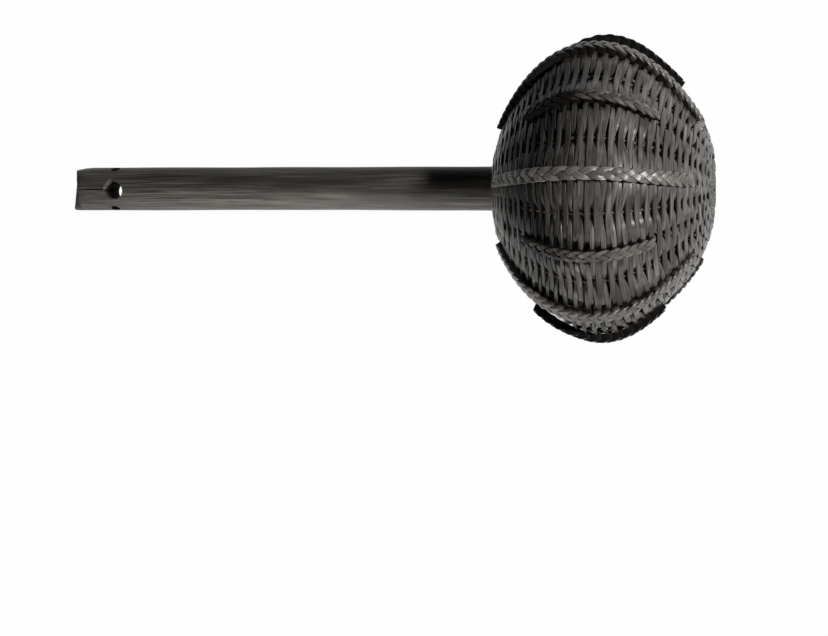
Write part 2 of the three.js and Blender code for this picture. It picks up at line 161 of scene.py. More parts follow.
# The split is less than a millimetre wide and runs straight from the butt to the mouth.
bpy.ops.mesh.primitive_cone_add(
    vertices=12, radius1=0.0004, radius2=0.0003, depth=0.016,
    location=(STICK_BUTT + 0.0102, -0.0016, 0.0116), rotation=(0, -math.pi / 2, 0))
bpy.context.object.scale = (11, 1, 1)
cut_away(stick, bpy.context.object)

stick.select_set(True)
bpy.ops.object.mode_set(mode="EDIT")
bpy.ops.mesh.select_all(action="SELECT")
bpy.ops.mesh.remove_doubles(threshold=0.00002)
bpy.ops.mesh.normals_make_consistent(inside=False)
bpy.ops.object.mode_set(mode="OBJECT")
bpy.ops.object.shade_smooth_by_angle(angle=math.radians(32))
bored = [math.hypot(face.center.y, face.center.z) < BORE_WITHIN
         and abs(face.center.x - HOLE_PLACE) < HOLES_REACH for face in stick.data.polygons]

# The rattle lies on its lowest plait and the rim of its butt, so stick and head lean together.
# Pieces are worked out in the head's own frame, with its middle at the origin and its axis along X,
# from the neck, where the stick goes in, to the crown, and are then laid down with this matrix.
LEAN = 0.2365407
HEAD_MIDDLE = Vector((0.125177, 0, 0.08751))
LAY_DOWN = Matrix.Translation(HEAD_MIDDLE) @ Matrix.Rotation(-LEAN, 4, "Y")
stick.data.transform(LAY_DOWN)


def paint(hex_colour):
    """Linear colour of an sRGB hex value."""
    channels = [int(hex_colour[i:i + 2], 16) / 255 for i in (1, 3, 5)]
    linear = [c / 12.92 if c <= 0.04045 else ((c + 0.055) / 1.055) ** 2.4 for c in channels]
    return (*linear, 1)


def add_node(finish, kind, inputs, **settings):
    """Adds a shader node to a finish, with its settings, and with a value or a link on each input."""
    node = finish.node_tree.nodes.new("ShaderNode" + kind)
    for name, value in settings.items():
        setattr(node, name, value)
    for name, value in inputs.items():
        if isinstance(value, bpy.types.NodeSocket):
            finish.node_tree.links.new(value, node.inputs[name])
        else:
            node.inputs[name].default_value = value
    return node


# Old hardwood, scraped and handled: dark grain lines about half a millimetre wide, paler worn streaks
# 3 mm wide, and a thin waxy sheen. The end grain soaks up dirt and is darker.
wood = bpy.data.materials.new("handled_hardwood")
wood.use_nodes = True
shader = wood.node_tree.nodes["Principled BSDF"]
spot = add_node(wood, "TexCoord", {}).outputs["Object"]
on_axis = add_node(wood, "Mapping", {"Vector": spot, "Rotation": (0, LEAN, 0)}).outputs["Vector"]
grain_place = add_node(wood, "Mapping", {"Vector": on_axis, "Scale": (1 / 0.03, 1 / 0.0006, 1 / 0.0006)})
grain = add_node(wood, "TexNoise", {"Vector": grain_place.outputs["Vector"], "Scale": 1.0, "Detail": 5.0,
                                    "Roughness": 0.62}).outputs["Fac"]
streak_place = add_node(wood, "Mapping", {"Vector": on_axis, "Scale": (1 / 0.07, 1 / 0.0035, 1 / 0.0035)})
streak = add_node(wood, "TexNoise", {"Vector": streak_place.outputs["Vector"], "Scale": 1.0, "Detail": 3.0,
                                     "Roughness": 0.55}).outputs["Fac"]
grain_share = add_node(wood, "MapRange", {"Value": grain, "From Min": 0.36, "From Max": 0.66})
streak_share = add_node(wood, "MapRange", {"Value": streak, "From Min": 0.34, "From Max": 0.68})
body_tone = add_node(wood, "Mix", {0: streak_share.outputs[0], 6: paint("#494642"), 7: paint("#716d68")},
                     data_type="RGBA")
grain_tone = add_node(wood, "Mix", {0: grain_share.outputs[0], 6: paint("#34312d"), 7: body_tone.outputs[2]},
                      data_type="RGBA")
axis_place = add_node(wood, "SeparateXYZ", {"Vector": on_axis}).outputs["X"]
END_GRAIN = (0.0004, 0.0022)
butt_on_axis = HEAD_MIDDLE.x * math.cos(LEAN) + HEAD_MIDDLE.z * math.sin(LEAN) + STICK_BUTT
soaked = add_node(wood, "MapRange", {"Value": axis_place, "From Min": butt_on_axis + END_GRAIN[0],
                                     "From Max": butt_on_axis + END_GRAIN[1]})
ended = add_node(wood, "Mix", {0: soaked.outputs[0], 6: paint("#2a2724"), 7: grain_tone.outputs[2]},
                 data_type="RGBA")
wood.node_tree.links.new(ended.outputs[2], shader.inputs["Base Color"])
sheen = add_node(wood, "MapRange", {"Value": grain, "To Min": 0.5, "To Max": 0.34})
wood.node_tree.links.new(sheen.outputs[0], shader.inputs["Roughness"])
pores = add_node(wood, "Bump", {"Height": grain, "Strength": 0.35, "Distance": 0.0003})
wood.node_tree.links.new(pores.outputs["Normal"], shader.inputs["Normal"])
shader.inputs["Specular IOR Level"].default_value = 0.1
stick.data.materials.append(wood)

# Painted shade in the bores: a dull, almost black finish.
bore_shade = bpy.data.materials.new("shaded_bore")
bore_shade.use_nodes = True
shader = bore_shade.node_tree.nodes["Principled BSDF"]
shader.inputs["Base Color"].default_value = paint("#1c1a18")
shader.inputs["Roughness"].default_value = 0.95
shader.inputs["Specular IOR Level"].default_value = 0.1
stick.data.materials.append(bore_shade)
stick.data.polygons.foreach_set("material_index", [int(inside) for inside in bored])
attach(stick, "rattle")
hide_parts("stick")


# Stakes: 24 whole canes, thinned at both ends, that make the globe's cage. They are bound along the
# stick at the neck, bowed out, and gathered again behind the crown. Every second one stands out as
# a keel where a plait is sewn on, in turn over a long and a short stretch.
GLOBE_HALF_LENGTH = 0.0618
GLOBE_RADIUS = 0.0785
SHOULDER_SHARE = 0.03
FLAT_SHARE = 0.03
TURN = 2 * math.pi
STAKES = 24
STAKE_RADIUS = 0.001
STAKE_TIP_RADIUS = 0.0009
KEEL = 0.0036
KEEL_SPANS = {"long": (math.radians(26), math.radians(145)), "short": (math.radians(56), math.radians(123))}
STAKE_KINDS = ("long", "plain", "short", "plain")
BEND_RADIUS = 0.003
NECK_FOOT = 0.022
CROWN_FOOT = 0.007
NECK_FOOT_RADIUS = 0.0142
CROWN_FOOT_RADIUS = 0.00802


def smooth(t):
    """Eases from 0 to 1 as t goes from 0 to 1, and stays there outside."""
    t = np.clip(t, 0, 1)
    return t * t * (3 - 2 * t)


def keel_lift(kind, angle):
    """How far a stake of this kind stands out of the plain ones, at an angle along it from the neck."""
    if kind == "plain":
        return np.zeros_like(angle)
    start, end = KEEL_SPANS[kind]
    share = (angle - start) / (end - start)
    return KEEL * smooth(2 * share) * smooth(2 - 2 * share)


def stake_radius(angle):
    """A stake's radius at an angle from the neck, less towards its ends."""
    return STAKE_TIP_RADIUS + (STAKE_RADIUS - STAKE_TIP_RADIUS) * smooth(1.4 * np.sin(angle) - 0.2)


def globe_outline(angle):
    """Place along the axis and from it, at an angle from the neck, on an ellipse with blunt poles."""
    cosine = np.cos(angle)
    slim = 1 - SHOULDER_SHARE * np.sin(2 * angle) ** 2
    flat = FLAT_SHARE * np.sign(cosine) * cosine ** 24
    return np.stack([-GLOBE_HALF_LENGTH * (cosine * slim - flat), GLOBE_RADIUS * np.sin(angle) * slim], -1)


def globe_point(angle, lift):
    """A place that is lifted off the globe's outline, and the direction out of it."""
    ahead = globe_outline(angle + 1e-4) - globe_outline(angle - 1e-4)
    ahead /= np.linalg.norm(ahead, axis=-1, keepdims=True)
    out = np.stack([-ahead[..., 1], ahead[..., 0]], -1)
    return globe_outline(angle) + out * np.asarray(lift)[..., None], out


def spin(place, turn):
    """From a place along and from the axis to a point in space. A turn of 0 is straight up."""
    return np.stack([place[..., 0], place[..., 1] * np.sin(turn), place[..., 1] * np.cos(turn)], -1)


def stake_line(kind):
    """Centre line of a stake and its radius at each point, from the foot at the neck to the crown."""
    neck = math.asin((NECK_FOOT_RADIUS + BEND_RADIUS) / GLOBE_RADIUS)
    crown = math.pi - math.asin((CROWN_FOOT_RADIUS + BEND_RADIUS) / GLOBE_RADIUS)
    angles = np.linspace(neck, crown, 64)
    bow, _ = globe_point(angles, keel_lift(kind, angles))
    bends = np.linspace(0, math.pi / 2, 5)
    neck_arc = np.stack([bow[0, 0] + BEND_RADIUS * (1 - np.sin(bends)),
                         bow[0, 1] - BEND_RADIUS * np.cos(bends)], -1)
    crown_arc = np.stack([bow[-1, 0] - BEND_RADIUS * (1 - np.cos(bends)),
                          bow[-1, 1] - BEND_RADIUS * np.sin(bends)], -1)
    neck_foot = neck_arc[:1] + [[NECK_FOOT, 0]]
    crown_foot = crown_arc[-1:] - [[CROWN_FOOT, 0]]
    line = np.concatenate([neck_foot, neck_arc[:-1], bow, crown_arc[1:], crown_foot])
    radii = np.full(len(line), STAKE_TIP_RADIUS)
    radii[len(bends):len(bends) + len(angles)] = stake_radius(angles)
    return line, radii


# Whole cane with its skin on, dull and dark with age: the skin is rough, in dents 0.8 mm across, and has
# stains about 11 mm wide.
stake_cane = bpy.data.materials.new("old_whole_cane")
stake_cane.use_nodes = True
shader = stake_cane.node_tree.nodes["Principled BSDF"]
spot = add_node(stake_cane, "TexCoord", {}).outputs["Object"]
stain = add_node(stake_cane, "TexNoise", {"Vector": spot, "Scale": 1 / 0.011, "Detail": 4.0}).outputs["Fac"]
stain_tone = add_node(stake_cane, "Mix", {0: stain, 6: paint("#2f2b27"), 7: paint("#625b52")},
                      data_type="RGBA")
stake_cane.node_tree.links.new(stain_tone.outputs[2], shader.inputs["Base Color"])
dents = add_node(stake_cane, "TexNoise", {"Vector": spot, "Scale": 1 / 0.0008, "Detail": 2.0}).outputs["Fac"]
dented = add_node(stake_cane, "Bump", {"Height": dents, "Strength": 0.3, "Distance": 0.0002})
stake_cane.node_tree.links.new(dented.outputs["Normal"], shader.inputs["Normal"])
shader.inputs["Roughness"].default_value = 0.6

stake_patterns = {}
for kind in ("long", "plain", "short"):
    line, radii = stake_line(kind)
    curve = bpy.data.curves.new("stake_line_" + kind, "CURVE")
    curve.dimensions = "3D"
    curve.bevel_depth = 1.0
    curve.bevel_resolution = 2
    curve.use_fill_caps = True
    spline = curve.splines.new("POLY")
    spline.points.add(len(line) - 1)
    for point, centre, radius in zip(spline.points, line, radii):
        point.co = (centre[0], 0, centre[1], 1)
        point.radius = radius
    pattern = bpy.data.objects.new("stake_pattern_" + kind, curve)
    bpy.context.scene.collection.objects.link(pattern)
    bpy.ops.object.select_all(action="DESELECT")
    pattern.select_set(True)
    bpy.context.view_layer.objects.active = pattern
    bpy.ops.object.convert(target="MESH")
    stake_patterns[kind] = bpy.context.object

for number in range(STAKES):
    kind = STAKE_KINDS[number % 4]
    stake = stake_patterns[kind].copy()
    stake.data = stake_patterns[kind].data.copy()
    stake.name = f"cane_stake_{number + 1:02d}"
    bpy.context.scene.collection.objects.link(stake)
    stake.data.transform(LAY_DOWN @ Matrix.Rotation(-TURN * number / STAKES, 4, "X"))
    stake.data.shade_smooth()
    stake.data.materials.clear()
    stake.data.materials.append(stake_cane)
    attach(stake, "rattle")
    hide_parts(f"stake_{number + 1:02d}")
for pattern in stake_patterns.values():
    bpy.data.objects.remove(pattern)


# Lashings: two-ply cords wound tight round the stakes' feet inside the head, five turns at the neck
# and two behind the crown. They are what the whole cage hangs on, and can be seen only through gaps.
LASHING_RADIUS = 0.0009
LASHING_STEP = 2 * LASHING_RADIUS + 0.0006
LASHING_GAP = 0.0003
PLY_RADIUS = 0.00052
PLY_OFFSET = 0.00042
PLY_LAY = 0.0052
ROUND_CREASE = math.radians(75)
MAP_STAGGER = 0.0007


def strand_rings(line, out, section, width, thickness, roll=0.0):
    """Sections of a strand set square to its line. The section's first number runs across, its second out."""
    ahead = np.gradient(line, axis=0)
    ahead /= np.linalg.norm(ahead, axis=1, keepdims=True)
    across = np.cross(ahead, out)
    across /= np.linalg.norm(across, axis=1, keepdims=True)
    up = np.cross(across, ahead)
    turned = np.asarray(roll, float).reshape(-1, 1)
    across, up = across * np.cos(turned) + up * np.sin(turned), up * np.cos(turned) - across * np.sin(turned)
    width = np.asarray(width, float).reshape(-1, 1, 1)
    thickness = np.asarray(thickness, float).reshape(-1, 1, 1)
    return (line[:, None] + across[:, None] * section[None, :, :1] * width / 2
            + up[:, None] * section[None, :, 1:] * thickness / 2)


def skin_strands(name, strands, crease):
    """One piece with a closed skin over each strand's sections. A strand is its rings and a tone for each
    ring or each corner of a ring. Edges bent by more than the crease are sharp.
    The skin's UV map runs in metres, along and round the strand, and its tone is a point attribute."""
    points, faces, tones, maps = [], [], [], []
    first = 0
    for rings, tone in strands:
        count, sides = rings.shape[:2]
        ring_numbers = np.arange(count - 1)[:, None] * sides
        corner = np.arange(sides)[None, :]
        after = (corner + 1) % sides
        quads = np.stack([ring_numbers + corner, ring_numbers + after,
                          ring_numbers + sides + after, ring_numbers + sides + corner], -1).reshape(-1, 4)
        low, a, b = rings[:-1], rings[1:], np.roll(rings, -1, axis=1)[:-1]
        volume = np.einsum("ijk,ijk->", low - rings.mean((0, 1)), np.cross(b - low, a - low))
        if volume < 0:
            quads = quads[:, ::-1]
        lengths = np.linalg.norm(np.diff(rings.mean(1), axis=0), axis=1)
        along = np.concatenate([[0], np.cumsum(lengths)]) + first * MAP_STAGGER
        girth = np.linalg.norm(np.roll(rings[count // 2], -1, axis=0) - rings[count // 2], axis=1)
        around = np.concatenate([[0], np.cumsum(girth)])
        ring_of, corner_of = quads // sides, quads % sides
        wraps = (corner_of == 0) & (corner_of.max(1, keepdims=True) == sides - 1)
        maps.append(np.stack([along[ring_of], around[corner_of + sides * wraps]], -1).reshape(-1, 2))
        ends = [list(range(sides)), list(range((count - 1) * sides, count * sides))]
        ends[1 if volume < 0 else 0].reverse()
        faces += (quads + first).tolist() + [[first + i for i in end] for end in ends]
        maps.append(np.zeros((2 * sides, 2)))
        points.append(rings.reshape(-1, 3))
        tones.append(np.broadcast_to(tone.reshape(count, -1), (count, sides)).ravel())
        first += count * sides
    mesh = bpy.data.meshes.new(name)
    mesh.from_pydata(np.concatenate(points).tolist(), [], faces)
    mesh.uv_layers.new(name="strand").data.foreach_set("uv", np.concatenate(maps).astype(np.float32).ravel())
    tone_of = mesh.attributes.new("tone", "FLOAT", "POINT")
    tone_of.data.foreach_set("value", np.concatenate(tones).astype(np.float32))
    mesh.transform(LAY_DOWN)
    mesh.shade_smooth()
    mesh.set_sharp_from_angle(angle=crease)
    piece = bpy.data.objects.new(name, mesh)
    bpy.context.scene.collection.objects.link(piece)
    return piece


def round_section(sides):
    """Corners of a round section."""
    turns = np.arange(sides) * TURN / sides
    return np.stack([np.cos(turns), np.sin(turns)], -1)


def twist_plies(line, out, offset, ply_radius, lay, sides=7):
    """Two plies laid round each other along a line, a whole turn in each lay."""
    along = np.concatenate([[0], np.cumsum(np.linalg.norm(np.diff(line, axis=0), axis=1))])
    ahead = np.gradient(line, axis=0)
    ahead /= np.linalg.norm(ahead, axis=1, keepdims=True)
    across = np.cross(ahead, out)
    across /= np.linalg.norm(across, axis=1, keepdims=True)
    plies = []
    for ply in range(2):
        turn = (TURN * along / lay + math.pi * ply)[:, None]
        twisted = line + offset * (across * np.cos(turn) + np.cross(across, ahead) * np.sin(turn))
        rings = strand_rings(twisted, out, round_section(sides), 2 * ply_radius, 2 * ply_radius)
        plies.append((rings, np.full(len(line), 0.35 + 0.3 * ply)))
    return plies


# Twisted plant fibre, matt and fuzzy: short pale hairs 0.3 mm apart and 3 mm long, over a dusty brown.
fibre = bpy.data.materials.new("twisted_plant_fibre")
fibre.use_nodes = True
shader = fibre.node_tree.nodes["Principled BSDF"]
strand_map = add_node(fibre, "UVMap", {}, uv_map="strand").outputs["UV"]
hair_place = add_node(fibre, "Mapping", {"Vector": strand_map, "Scale": (1 / 0.003, 1 / 0.0003, 1)})
hair = add_node(fibre, "TexNoise", {"Vector": hair_place.outputs["Vector"], "Scale": 1.0,
                                    "Detail": 3.0}).outputs["Fac"]
hair_tone = add_node(fibre, "Mix", {0: hair, 6: paint("#3b362f"), 7: paint("#857a6a")}, data_type="RGBA")
fibre.node_tree.links.new(hair_tone.outputs[2], shader.inputs["Base Color"])
hairy = add_node(fibre, "Bump", {"Height": hair, "Strength": 0.5, "Distance": 0.0002})
fibre.node_tree.links.new(hairy.outputs["Normal"], shader.inputs["Normal"])
shader.inputs["Roughness"].default_value = 0.85

neck_bend = globe_outline(math.asin((NECK_FOOT_RADIUS + BEND_RADIUS) / GLOBE_RADIUS))[0] + BEND_RADIUS
for name, foot_radius, start, turns in (
        ("neck", NECK_FOOT_RADIUS, neck_bend + BEND_RADIUS, 5),
        ("crown", CROWN_FOOT_RADIUS, STICK_TIP + LASHING_GAP + LASHING_STEP / 2, 2)):
    wound = np.linspace(0, turns, turns * 90 + 1)
    middle = foot_radius + STAKE_TIP_RADIUS + LASHING_GAP + LASHING_RADIUS
    places = np.stack([start + wound * LASHING_STEP, np.full_like(wound, middle)], -1)
    out = spin(np.stack([0 * wound, 0 * wound + 1], -1), TURN * wound)
    plies = twist_plies(spin(places, TURN * wound), out, PLY_OFFSET, PLY_RADIUS, PLY_LAY)
    lashing = skin_strands(name + "_binding", plies, ROUND_CREASE)
    lashing.data.materials.append(fibre)
    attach(lashing, "rattle")
    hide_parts(name + "_lashing")


# Weft: two flat strands of split cane that chase each other round the globe, over one stake and under
# the next, 64 rows from neck to crown. Each strand is pieced from four lengths. It spreads where it
# bows over a stake and is squeezed where the two strands pass each other.
ROWS = 64
WEFT_THICKNESS = 0.001
WEFT_CLEARANCE = 0.0002
WEFT_PIECES = 4
NECK_OPENING = 0.0204
CROWN_OPENING = 0.01955
FIRST_EDGE = math.asin(NECK_OPENING / GLOBE_RADIUS)
LAST_EDGE = math.pi - math.asin(CROWN_OPENING / GLOBE_RADIUS)
STEPS = 9
FLAT_CREASE = math.radians(30)
# No two crossings are alike: how far they stray, in rows, in width, in roll and outwards.
ROW_DRIFT = 0.11
WIDTH_SPREAD = 0.07
FLOAT_ROLL = 0.14
FLOAT_RISE = 0.00018
# Widths are shares of a row, depths are shares of the way under a stake, and dives are shares of the way
# to the next stake. Pairs of values are for the two strands.
OVER_WIDTHS = (1.16, 1.16)
UNDER_WIDTH = 0.82
UNDER_DEPTHS = (0.5, 1.0)
DIVES = (0.4, 0.28)
CROWDING = 0.22
POLE_FULLNESS = 0.0012
CLOSING_WIDTH = 0.12
KEEL_SQUEEZE = 0.38
# How far the painted shade beside each keel reaches to either side, and how far the weave is squeezed and
# held under there, in its half towards the neck and towards the crown.
KEEL_REACH_NECKWARD = np.array([2, 6, 5, 9, 5, 5, 5, 5, 5, 13, 9, 8.5]) / 1000
KEEL_REACH_CROWNWARD = np.array([1.5, 4.5, 6, 9, 5, 5, 5, 5, 5, 13, 4, 3.5]) / 1000
CANE_SECTION = np.array([(-1, -0.5), (-0.8, -1), (0, -1), (0.8, -1), (1, -0.5), (0.99, 0.45),
                         (0.86, 0.88), (0.35, 1.02), (-0.35, 1.02), (-0.86, 0.88), (-0.99, 0.45)])

rng = np.random.default_rng(41)
fine_angles = np.linspace(FIRST_EDGE, LAST_EDGE, 2000)
steps_walked = np.linalg.norm(np.diff(globe_outline(fine_angles), axis=0), axis=1)
walked = np.concatenate([[0], np.cumsum(steps_walked)])
row_pitch = walked[-1] / (ROWS + 2)


def row_angle(row):
    """The angle from the neck at which a row lies."""
    return np.interp(row * row_pitch, walked, fine_angles)


def ease(values, crossing, share):
    """A value that is drawn for each crossing, eased from one crossing to the next."""
    return values[crossing] + (values[crossing + 1] - values[crossing]) * smooth(share)


def weft_strand(strand, from_turn, to_turn):
    """A length of one strand. Strand 0 goes over the keeled stakes, strand 1 under them.
    The turns before the first row and after the last run out into the gap that the spiral leaves."""
    crossings = (to_turn - from_turn) * STAKES
    position = np.linspace(0, crossings, crossings * STEPS + 1)
    crossing = np.minimum(position.astype(int), crossings - 1)
    share = position - crossing
    turn = TURN * position / STAKES
    drift = rng.normal(0, ROW_DRIFT, crossings + 2)
    heft = rng.normal(1, WIDTH_SPREAD, crossings + 2)
    lean = rng.normal(0, FLOAT_ROLL, crossings + 2)
    tint = rng.uniform(0, 1, crossings + 2)
    rise = rng.normal(0, FLOAT_RISE, crossings + 2)
    from_dive = np.where((crossing + strand) % 2 == 0, 1 - share, share)
    wound = from_turn + position / STAKES
    before, after = np.clip(-wound, 0, 1), np.clip(wound - ROWS // 2, 0, 1)
    row = 2 * wound + strand + 0.5 + (1.5 - strand) * before - (0.5 + strand) * after
    row = row + ease(drift, crossing, share)
    row = row - CROWDING * (1 - strand) * smooth(1 - from_dive / 0.8)
    angle = row_angle(row)
    lifts = {kind: keel_lift(kind, angle) for kind in ("long", "plain", "short")}
    all_lifts = np.stack([lifts[kind] for kind in STAKE_KINDS])
    numbers = np.arange(len(position))
    low = all_lifts[crossing % 4, numbers]
    high = all_lifts[(crossing + 1) % 4, numbers]
    ridge = 2 * np.rint(position / 2).astype(int)
    keel = np.sqrt(np.where(ridge % 4 == 0, lifts["long"], lifts["short"]) / KEEL)
    stake_gap = TURN / STAKES * globe_outline(angle)[:, 1]
    from_ridge = np.abs(position - ridge) * stake_gap
    plait = ridge // 2 % (STAKES // 2)
    crownward = smooth((angle - 1.2) / 0.7)
    reach = KEEL_REACH_NECKWARD[plait] + (KEEL_REACH_CROWNWARD[plait] - KEEL_REACH_NECKWARD[plait]) * crownward
    beside_keel = keel * smooth(1.25 - from_ridge / reach)
    held_under = strand * np.maximum(reach * keel / stake_gap - 0.16, 0)
    under = UNDER_DEPTHS[strand]
    over = (1 + under) * smooth((from_dive - held_under) / DIVES[strand]) - under
    bow = stake_radius(angle) + WEFT_CLEARANCE + WEFT_THICKNESS / 2
    lift = low + (high - low) * smooth(share) + bow * over + ease(rise, crossing, share) + WEFT_CLEARANCE
    lift = lift + POLE_FULLNESS * smooth((np.abs(np.cos(angle)) - 0.55) / 0.35)
    place, out = globe_point(angle, lift)
    spread = UNDER_WIDTH + (OVER_WIDTHS[strand] - UNDER_WIDTH) * smooth(from_dive / 0.7)
    spread = spread * (0.84 + 0.16 * smooth((angle - 1.25) / 0.4)) * (1 - KEEL_SQUEEZE * beside_keel)
    width = row_pitch * spread * ease(heft, crossing, share) * np.maximum(1 - before - after, CLOSING_WIDTH)
    rings = strand_rings(spin(place, turn), spin(out, turn), CANE_SECTION, width, WEFT_THICKNESS,
                         ease(lean, crossing, share))
    # Painted shade on the weave beside the keels, deeper on the strand that is held under.
    keel_shade = (0.4 + 0.5 * strand) * beside_keel
    tone = tint[np.rint(position).astype(int)]
    return rings, tone - keel_shade * (1 + tone)


# Split cane, darkened by smoke and handling: its satin skin has streaks about 1 mm wide along the strand,
# each float took the dye a little differently, painted shade darkens the weave down the keels' sides,
# and more painted shade darkens one shoulder of the head, above the neck.
PAINTED_SHADE_SHOULDER = Vector((0.085, 0.022, 0.135))
SHADE_SQUEEZE = Vector((1, 0.5, 1))
SHOULDER_SHADE_REACH = (0.02, 0.042)
cane = bpy.data.materials.new("smoked_split_cane")
cane.use_nodes = True
shader = cane.node_tree.nodes["Principled BSDF"]
strand_map = add_node(cane, "UVMap", {}, uv_map="strand").outputs["UV"]
tone = add_node(cane, "Attribute", {}, attribute_name="tone").outputs["Fac"]
rib_place = add_node(cane, "Mapping", {"Vector": strand_map, "Scale": (1 / 0.016, 1 / 0.0009, 1)})
ribs = add_node(cane, "TexNoise", {"Vector": rib_place.outputs["Vector"], "Scale": 1.0, "Detail": 4.0,
                                   "Roughness": 0.6}).outputs["Fac"]
rib_share = add_node(cane, "MapRange", {"Value": ribs, "From Min": 0.36, "From Max": 0.64})
float_tone = add_node(cane, "Mix", {0: tone, 6: paint("#524f4b"), 7: paint("#8a8680")}, data_type="RGBA")
ribbed_tone = add_node(cane, "Mix", {0: rib_share.outputs[0], 6: paint("#3a3734"), 7: float_tone.outputs[2]},
                       data_type="RGBA")
spot = add_node(cane, "TexCoord", {}).outputs["Object"]
smoke = add_node(cane, "TexNoise", {"Vector": spot, "Scale": 1 / 0.03, "Detail": 3.0}).outputs["Fac"]
smoke_share = add_node(cane, "MapRange", {"Value": smoke, "From Min": 0.35, "From Max": 0.6, "To Min": 0.72})
smoked = add_node(cane, "Mix", {0: smoke_share.outputs[0], 6: paint("#2b2825"), 7: ribbed_tone.outputs[2]},
                  data_type="RGBA")
# Painted shade on one shoulder: darker inside an ellipsoid squeezed across the axis.
squeezed = add_node(cane, "VectorMath", {0: spot, 1: SHADE_SQUEEZE}, operation="MULTIPLY").outputs["Vector"]
from_shaded_shoulder = add_node(cane, "VectorMath", {0: squeezed, 1: PAINTED_SHADE_SHOULDER * SHADE_SQUEEZE},
                     operation="DISTANCE").outputs["Value"]
shoulder_shade_mask = add_node(cane, "MapRange", {"Value": from_shaded_shoulder, "From Min": SHOULDER_SHADE_REACH[0],
                                         "From Max": SHOULDER_SHADE_REACH[1], "To Min": 0.16})
shoulder_shaded = add_node(cane, "Mix", {0: shoulder_shade_mask.outputs[0], 6: paint("#1d1b19"), 7: smoked.outputs[2]},
                  data_type="RGBA")
# Painted shade beside the keels, carried in the tone, turns the cane almost black.
out_of_keel_shade = add_node(cane, "MapRange", {"Value": tone, "From Min": -0.8, "From Max": 0.1})
keel_shade = add_node(cane, "Mix", {0: out_of_keel_shade.outputs[0], 6: paint("#1d1b19"), 7: shoulder_shaded.outputs[2]},
                   data_type="RGBA")
cane.node_tree.links.new(keel_shade.outputs[2], shader.inputs["Base Color"])
polish = add_node(cane, "MapRange", {"Value": ribs, "To Min": 0.5, "To Max": 0.2})
cane.node_tree.links.new(polish.outputs[0], shader.inputs["Roughness"])
# The gloss is cut where shade is painted, on the shoulder and beside the keels.
unshaded_share = add_node(cane, "Math", {0: shoulder_shade_mask.outputs[0], 1: out_of_keel_shade.outputs[0]}, operation="MULTIPLY")
gloss = add_node(cane, "MapRange", {"Value": unshaded_share.outputs[0], "To Min": 0.02, "To Max": 0.45})
cane.node_tree.links.new(gloss.outputs[0], shader.inputs["Specular IOR Level"])
rib_bump = add_node(cane, "Bump", {"Height": ribs, "Strength": 0.6, "Distance": 0.0003})
cane.node_tree.links.new(rib_bump.outputs["Normal"], shader.inputs["Normal"])

turns_in_piece = ROWS // 2 // WEFT_PIECES
for strand in range(2):
    for piece in range(WEFT_PIECES):
        from_turn = piece * turns_in_piece - (piece == 0)
        to_turn = (piece + 1) * turns_in_piece + (piece == WEFT_PIECES - 1)
        rows = weft_strand(strand, from_turn, to_turn)
        weft = skin_strands(f"split_cane_{'ab'[strand]}_{piece + 1}", [rows], FLAT_CREASE)
        weft.data.materials.append(cane)
        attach(weft, "rattle")
        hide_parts(f"weft_{'ab'[strand]}_{piece + 1}")


# Coils: where the stakes run too close to weave, a pair of thin canes is twined round the pole and
# tucked in, one turn against the stick at the neck and five from the middle of the crown outwards.
COIL_RADIUS = 0.00125
COIL_STEP = 2 * COIL_RADIUS + 0.0006
COIL_LIFT = 0.0017
COIL_PLY_RADIUS = 0.00078
COIL_PLY_OFFSET = 0.00062
COIL_LAY = 0.0078
for name, inner, turns in (("neck", 0.01545, 1), ("crown", 0.0022, 5)):
    wound = np.linspace(0, turns, turns * 110 + 1)
    from_pole = np.arcsin((inner + wound * COIL_STEP) / GLOBE_RADIUS)
    angle = from_pole if name == "neck" else math.pi - from_pole
    place, out = globe_point(angle, np.full_like(wound, COIL_LIFT))
    plies = twist_plies(spin(place, TURN * wound), spin(out, TURN * wound), COIL_PLY_OFFSET, COIL_PLY_RADIUS,
                        COIL_LAY, sides=8)
    coil = skin_strands(name + "_twining", plies, ROUND_CREASE)
    coil.data.materials.append(cane)
    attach(coil, "rattle")
    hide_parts(name + "_coil")


# Plaits: flat three-strand plaits of paler split cane, sewn along the keels after the globe was woven.
# Their strands cross from the edge over the middle, so the herringbone points towards the handle,
# and the ends are cut off blunt, with a splinter or two left standing.
PLAIT_SEAT = 0.0055
PLAIT_PERIODS = {"long": (0.0125, 0.017), "short": (0.0165, 0.021)}
PLAIT_SWINGS = {"long": 0.0026, "short": 0.0023}
PLAIT_RISE = 0.0006
PLAIT_STRAND_WIDTHS = {"long": 0.0037, "short": 0.003}
PLAIT_STRAND_THICKNESS = 0.0011
PLAIT_RING_STEP = 0.00055
PLAIT_TINTS = 80
RAGGED_OUT = 0.0012
RAGGED_IN = 0.0022
# Plaits that differ, by number: one is plaited looser, some are darkened near the neck or the crown as
# painted shade and one is lightened at its neck end as painted light, the neck end of one has sprung off, and
# some start or end off their keel's ends, by an angle along the globe.
LOOSE_PLAITS = {1: (0.0145, 0.025)}
PLAIT_SHADE_AND_LIGHT = {2: (1, 0.2), 3: (0.95, 0.1), 4: (0.62, 0.62), 10: (0.62, 0.62), 11: (-0.5, 0), 12: (0.6, 0.1)}
SPRUNG_ENDS = {10: 0.003}
SPRUNG_LENGTH = 0.033
PLAIT_OVERRUNS = {1: (0.09, 0.03), 3: (0.06, 0.05), 4: (-0.2, 0.14), 10: (0.02, 0), 11: (0.06, 0)}
OVERRUN_MARGIN = 0.12
PLAIT_SECTION = np.array([(-0.7, -7), (0.7, -7), (1, -0.5), (0.98, 0.4), (0.8, 0.86), (0, 1.06), (-0.8, 0.86),
                          (-0.98, 0.4), (-1, -0.5)])
